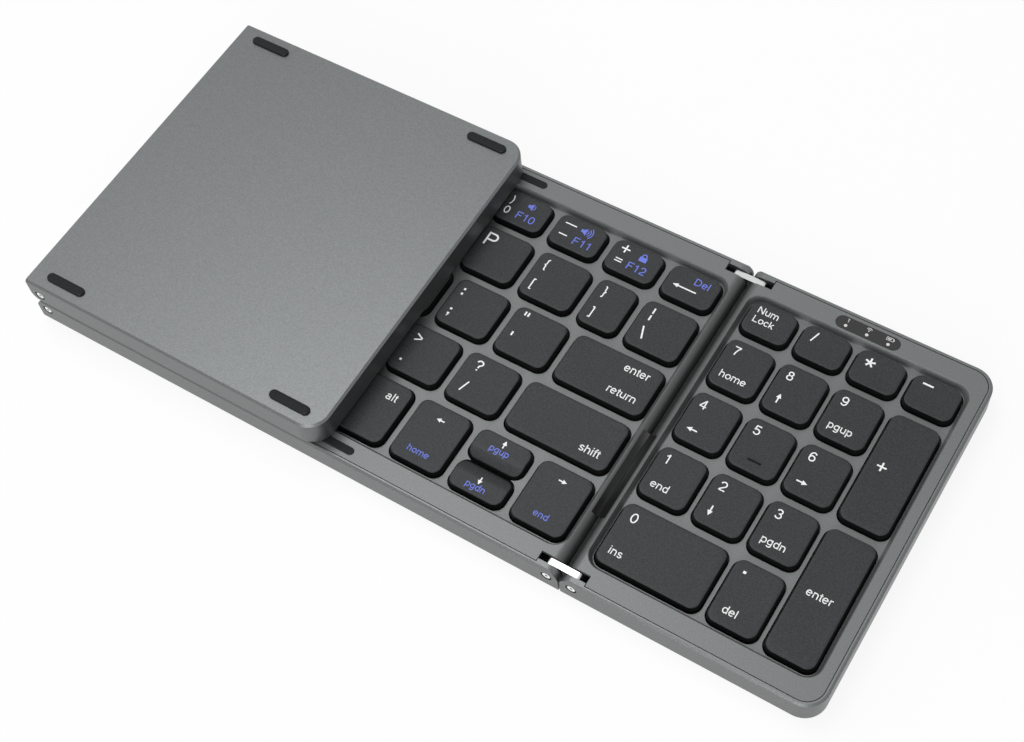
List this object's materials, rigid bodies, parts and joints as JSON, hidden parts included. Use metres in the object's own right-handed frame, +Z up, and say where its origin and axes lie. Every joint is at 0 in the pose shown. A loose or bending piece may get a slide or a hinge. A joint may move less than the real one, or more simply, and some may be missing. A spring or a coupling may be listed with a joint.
{
  "type": "folding keyboard",
  "caption": "Thin wireless keyboard in panels joined by double-pivot hinges. One side panel lies folded face down on the middle one, the number pad panel lies open.",
  "frame": {"origin": "centre of the resting outline, at the underside of the rubber feet, with the left panel folded and the number pad open", "axes": "+X along the keyboard towards the number pad, +Y from the front edge to the rear edge, +Z up from the table"},
  "size_m": [0.2208, 0.0966, 0.0183],
  "materials": {
    "shell": "bead-blasted and dyed dark grey, satin",
    "keycaps": "fine matt texture",
    "rubber": "matt",
    "steel": "bright",
    "plate": "plain",
    "dome_rubber": "translucent, matt",
    "window": "glossy, dark",
    "board": "satin solder mask",
    "socket": "plain",
    "cell": "foil",
    "knob": "matt"
  },
  "bodies": {
    "middle_panel": {"mid_case": "shell", "mid_deck": "shell", "mid_plate": "plate", "mid_domes": "dome_rubber", "mid_feet": "rubber", "mid_bumpers": "rubber", "mid_hinge_pins": "steel", "mid_magnets": "plate", "battery": "cell"},
    "pad_panel": {"pad_case": "shell", "pad_deck": "shell", "pad_plate": "plate", "pad_domes": "dome_rubber", "pad_feet": "rubber", "pad_hinge_pins": "steel", "pad_magnets": "plate", "status_window": "window", "main_board": "board", "charge_socket": "socket"},
    "left_panel": {"left_case": "shell", "left_deck": "shell", "left_plate": "plate", "left_domes": "dome_rubber", "left_feet": "rubber", "left_hinge_pins": "steel", "left_magnets": "plate"},
    "left_link_pair": {"left_links": "steel", "left_cable_cover": "rubber"},
    "right_link_pair": {"right_links": "steel", "right_cable_cover": "rubber"},
    "switch_knob": {"power_switch": "knob"},
    "mid_keys_row0": {"mid_keys_row0": "keycaps"},
    "mid_keys_row1": {"mid_keys_row1": "keycaps"},
    "mid_keys_row2": {"mid_keys_row2": "keycaps"},
    "mid_keys_row3": {"mid_keys_row3": "keycaps"},
    "mid_keys_row4": {"mid_keys_row4": "keycaps"},
    "key_num_lock": {"key_num_lock": "keycaps"},
    "key_divide": {"key_divide": "keycaps"},
    "key_times": {"key_times": "keycaps"},
    "key_minus": {"key_minus": "keycaps"},
    "key_7": {"key_7": "keycaps"},
    "key_8": {"key_8": "keycaps"},
    "key_9": {"key_9": "keycaps"},
    "key_plus": {"key_plus": "keycaps"},
    "key_4": {"key_4": "keycaps"},
    "key_5": {"key_5": "keycaps"},
    "key_6": {"key_6": "keycaps"},
    "key_1": {"key_1": "keycaps"},
    "key_2": {"key_2": "keycaps"},
    "key_3": {"key_3": "keycaps"},
    "key_enter": {"key_enter": "keycaps"},
    "key_0": {"key_0": "keycaps"},
    "key_point": {"key_point": "keycaps"},
    "left_keys_row0": {"left_keys_row0": "keycaps"},
    "left_keys_row1": {"left_keys_row1": "keycaps"},
    "left_keys_row2": {"left_keys_row2": "keycaps"},
    "left_keys_row3": {"left_keys_row3": "keycaps"},
    "left_keys_row4": {"left_keys_row4": "keycaps"}
  },
  "joints": [
    {"name": "left_link_turn", "type": "hinge", "parent": "middle_panel", "child": "left_link_pair", "pos_m": [-0.1074, 0, 0.00585], "axis": [0, -1, 0], "range_deg": [0, 90]},
    {"name": "left_panel_turn", "type": "hinge", "parent": "left_link_pair", "child": "left_panel", "pos_m": [-0.1074, 0, 0.01245], "axis": [0, -1, 0], "range_deg": [0, 90]},
    {"name": "right_link_turn", "type": "hinge", "parent": "middle_panel", "child": "right_link_pair", "pos_m": [0.0421, 0, 0.00585], "axis": [0, -1, 0], "range_deg": [0, 90], "deforming": ["right_cable_cover"]},
    {"name": "pad_panel_turn", "type": "hinge", "parent": "right_link_pair", "child": "pad_panel", "pos_m": [0.0487, 0, 0.00585], "axis": [0, -1, 0], "range_deg": [0, 90], "deforming": ["right_cable_cover"]},
    {"name": "press_mid_keys_row0", "type": "slide", "parent": "middle_panel", "child": "mid_keys_row0", "axis": [0, 0, -1], "range_m": [0, 0.0015], "stiffness_N_per_m": 3600, "springref_m": -0.0002, "deforming": ["mid_domes"]},
    {"name": "press_mid_keys_row1", "type": "slide", "parent": "middle_panel", "child": "mid_keys_row1", "axis": [0, 0, -1], "range_m": [0, 0.0015], "stiffness_N_per_m": 3600, "springref_m": -0.0002, "deforming": ["mid_domes"]},
    {"name": "press_mid_keys_row2", "type": "slide", "parent": "middle_panel", "child": "mid_keys_row2", "axis": [0, 0, -1], "range_m": [0, 0.0015], "stiffness_N_per_m": 3200, "springref_m": -0.0002, "deforming": ["mid_domes"]},
    {"name": "press_mid_keys_row3", "type": "slide", "parent": "middle_panel", "child": "mid_keys_row3", "axis": [0, 0, -1], "range_m": [0, 0.0015], "stiffness_N_per_m": 3200, "springref_m": -0.0002, "deforming": ["mid_domes"]},
    {"name": "press_mid_keys_row4", "type": "slide", "parent": "middle_panel", "child": "mid_keys_row4", "axis": [0, 0, -1], "range_m": [0, 0.0015], "stiffness_N_per_m": 2400, "springref_m": -0.0002, "deforming": ["mid_domes"]},
    {"name": "press_key_num_lock", "type": "slide", "parent": "pad_panel", "child": "key_num_lock", "axis": [0, 0, -1], "range_m": [0, 0.0015], "stiffness_N_per_m": 400, "springref_m": -0.0002, "deforming": ["pad_domes"]},
    {"name": "press_key_divide", "type": "slide", "parent": "pad_panel", "child": "key_divide", "axis": [0, 0, -1], "range_m": [0, 0.0015], "stiffness_N_per_m": 400, "springref_m": -0.0002, "deforming": ["pad_domes"]},
    {"name": "press_key_times", "type": "slide", "parent": "pad_panel", "child": "key_times", "axis": [0, 0, -1], "range_m": [0, 0.0015], "stiffness_N_per_m": 400, "springref_m": -0.0002, "deforming": ["pad_domes"]},
    {"name": "press_key_minus", "type": "slide", "parent": "pad_panel", "child": "key_minus", "axis": [0, 0, -1], "range_m": [0, 0.0015], "stiffness_N_per_m": 400, "springref_m": -0.0002, "deforming": ["pad_domes"]},
    {"name": "press_key_7", "type": "slide", "parent": "pad_panel", "child": "key_7", "axis": [0, 0, -1], "range_m": [0, 0.0015], "stiffness_N_per_m": 400, "springref_m": -0.0002, "deforming": ["pad_domes"]},
    {"name": "press_key_8", "type": "slide", "parent": "pad_panel", "child": "key_8", "axis": [0, 0, -1], "range_m": [0, 0.0015], "stiffness_N_per_m": 400, "springref_m": -0.0002, "deforming": ["pad_domes"]},
    {"name": "press_key_9", "type": "slide", "parent": "pad_panel", "child": "key_9", "axis": [0, 0, -1], "range_m": [0, 0.0015], "stiffness_N_per_m": 400, "springref_m": -0.0002, "deforming": ["pad_domes"]},
    {"name": "press_key_plus", "type": "slide", "parent": "pad_panel", "child": "key_plus", "axis": [0, 0, -1], "range_m": [0, 0.0015], "stiffness_N_per_m": 400, "springref_m": -0.0002, "deforming": ["pad_domes"]},
    {"name": "press_key_4", "type": "slide", "parent": "pad_panel", "child": "key_4", "axis": [0, 0, -1], "range_m": [0, 0.0015], "stiffness_N_per_m": 400, "springref_m": -0.0002, "deforming": ["pad_domes"]},
    {"name": "press_key_5", "type": "slide", "parent": "pad_panel", "child": "key_5", "axis": [0, 0, -1], "range_m": [0, 0.0015], "stiffness_N_per_m": 400, "springref_m": -0.0002, "deforming": ["pad_domes"]},
    {"name": "press_key_6", "type": "slide", "parent": "pad_panel", "child": "key_6", "axis": [0, 0, -1], "range_m": [0, 0.0015], "stiffness_N_per_m": 400, "springref_m": -0.0002, "deforming": ["pad_domes"]},
    {"name": "press_key_1", "type": "slide", "parent": "pad_panel", "child": "key_1", "axis": [0, 0, -1], "range_m": [0, 0.0015], "stiffness_N_per_m": 400, "springref_m": -0.0002, "deforming": ["pad_domes"]},
    {"name": "press_key_2", "type": "slide", "parent": "pad_panel", "child": "key_2", "axis": [0, 0, -1], "range_m": [0, 0.0015], "stiffness_N_per_m": 400, "springref_m": -0.0002, "deforming": ["pad_domes"]},
    {"name": "press_key_3", "type": "slide", "parent": "pad_panel", "child": "key_3", "axis": [0, 0, -1], "range_m": [0, 0.0015], "stiffness_N_per_m": 400, "springref_m": -0.0002, "deforming": ["pad_domes"]},
    {"name": "press_key_enter", "type": "slide", "parent": "pad_panel", "child": "key_enter", "axis": [0, 0, -1], "range_m": [0, 0.0015], "stiffness_N_per_m": 400, "springref_m": -0.0002, "deforming": ["pad_domes"]},
    {"name": "press_key_0", "type": "slide", "parent": "pad_panel", "child": "key_0", "axis": [0, 0, -1], "range_m": [0, 0.0015], "stiffness_N_per_m": 400, "springref_m": -0.0002, "deforming": ["pad_domes"]},
    {"name": "press_key_point", "type": "slide", "parent": "pad_panel", "child": "key_point", "axis": [0, 0, -1], "range_m": [0, 0.0015], "stiffness_N_per_m": 400, "springref_m": -0.0002, "deforming": ["pad_domes"]},
    {"name": "press_left_keys_row0", "type": "slide", "parent": "left_panel", "child": "left_keys_row0", "axis": [0, 0, 1], "range_m": [0, 0.0015], "stiffness_N_per_m": 2000, "springref_m": -0.0002, "deforming": ["left_domes"]},
    {"name": "press_left_keys_row1", "type": "slide", "parent": "left_panel", "child": "left_keys_row1", "axis": [0, 0, 1], "range_m": [0, 0.0015], "stiffness_N_per_m": 2000, "springref_m": -0.0002, "deforming": ["left_domes"]},
    {"name": "press_left_keys_row2", "type": "slide", "parent": "left_panel", "child": "left_keys_row2", "axis": [0, 0, 1], "range_m": [0, 0.0015], "stiffness_N_per_m": 2000, "springref_m": -0.0002, "deforming": ["left_domes"]},
    {"name": "press_left_keys_row3", "type": "slide", "parent": "left_panel", "child": "left_keys_row3", "axis": [0, 0, 1], "range_m": [0, 0.0015], "stiffness_N_per_m": 1600, "springref_m": -0.0002, "deforming": ["left_domes"]},
    {"name": "press_left_keys_row4", "type": "slide", "parent": "left_panel", "child": "left_keys_row4", "axis": [0, 0, 1], "range_m": [0, 0.0015], "stiffness_N_per_m": 1600, "springref_m": -0.0002, "deforming": ["left_domes"]},
    {"name": "power_slide", "type": "slide", "parent": "pad_panel", "child": "switch_knob", "axis": [1, 0, 0], "range_m": [0, 0.002]}
  ]
}
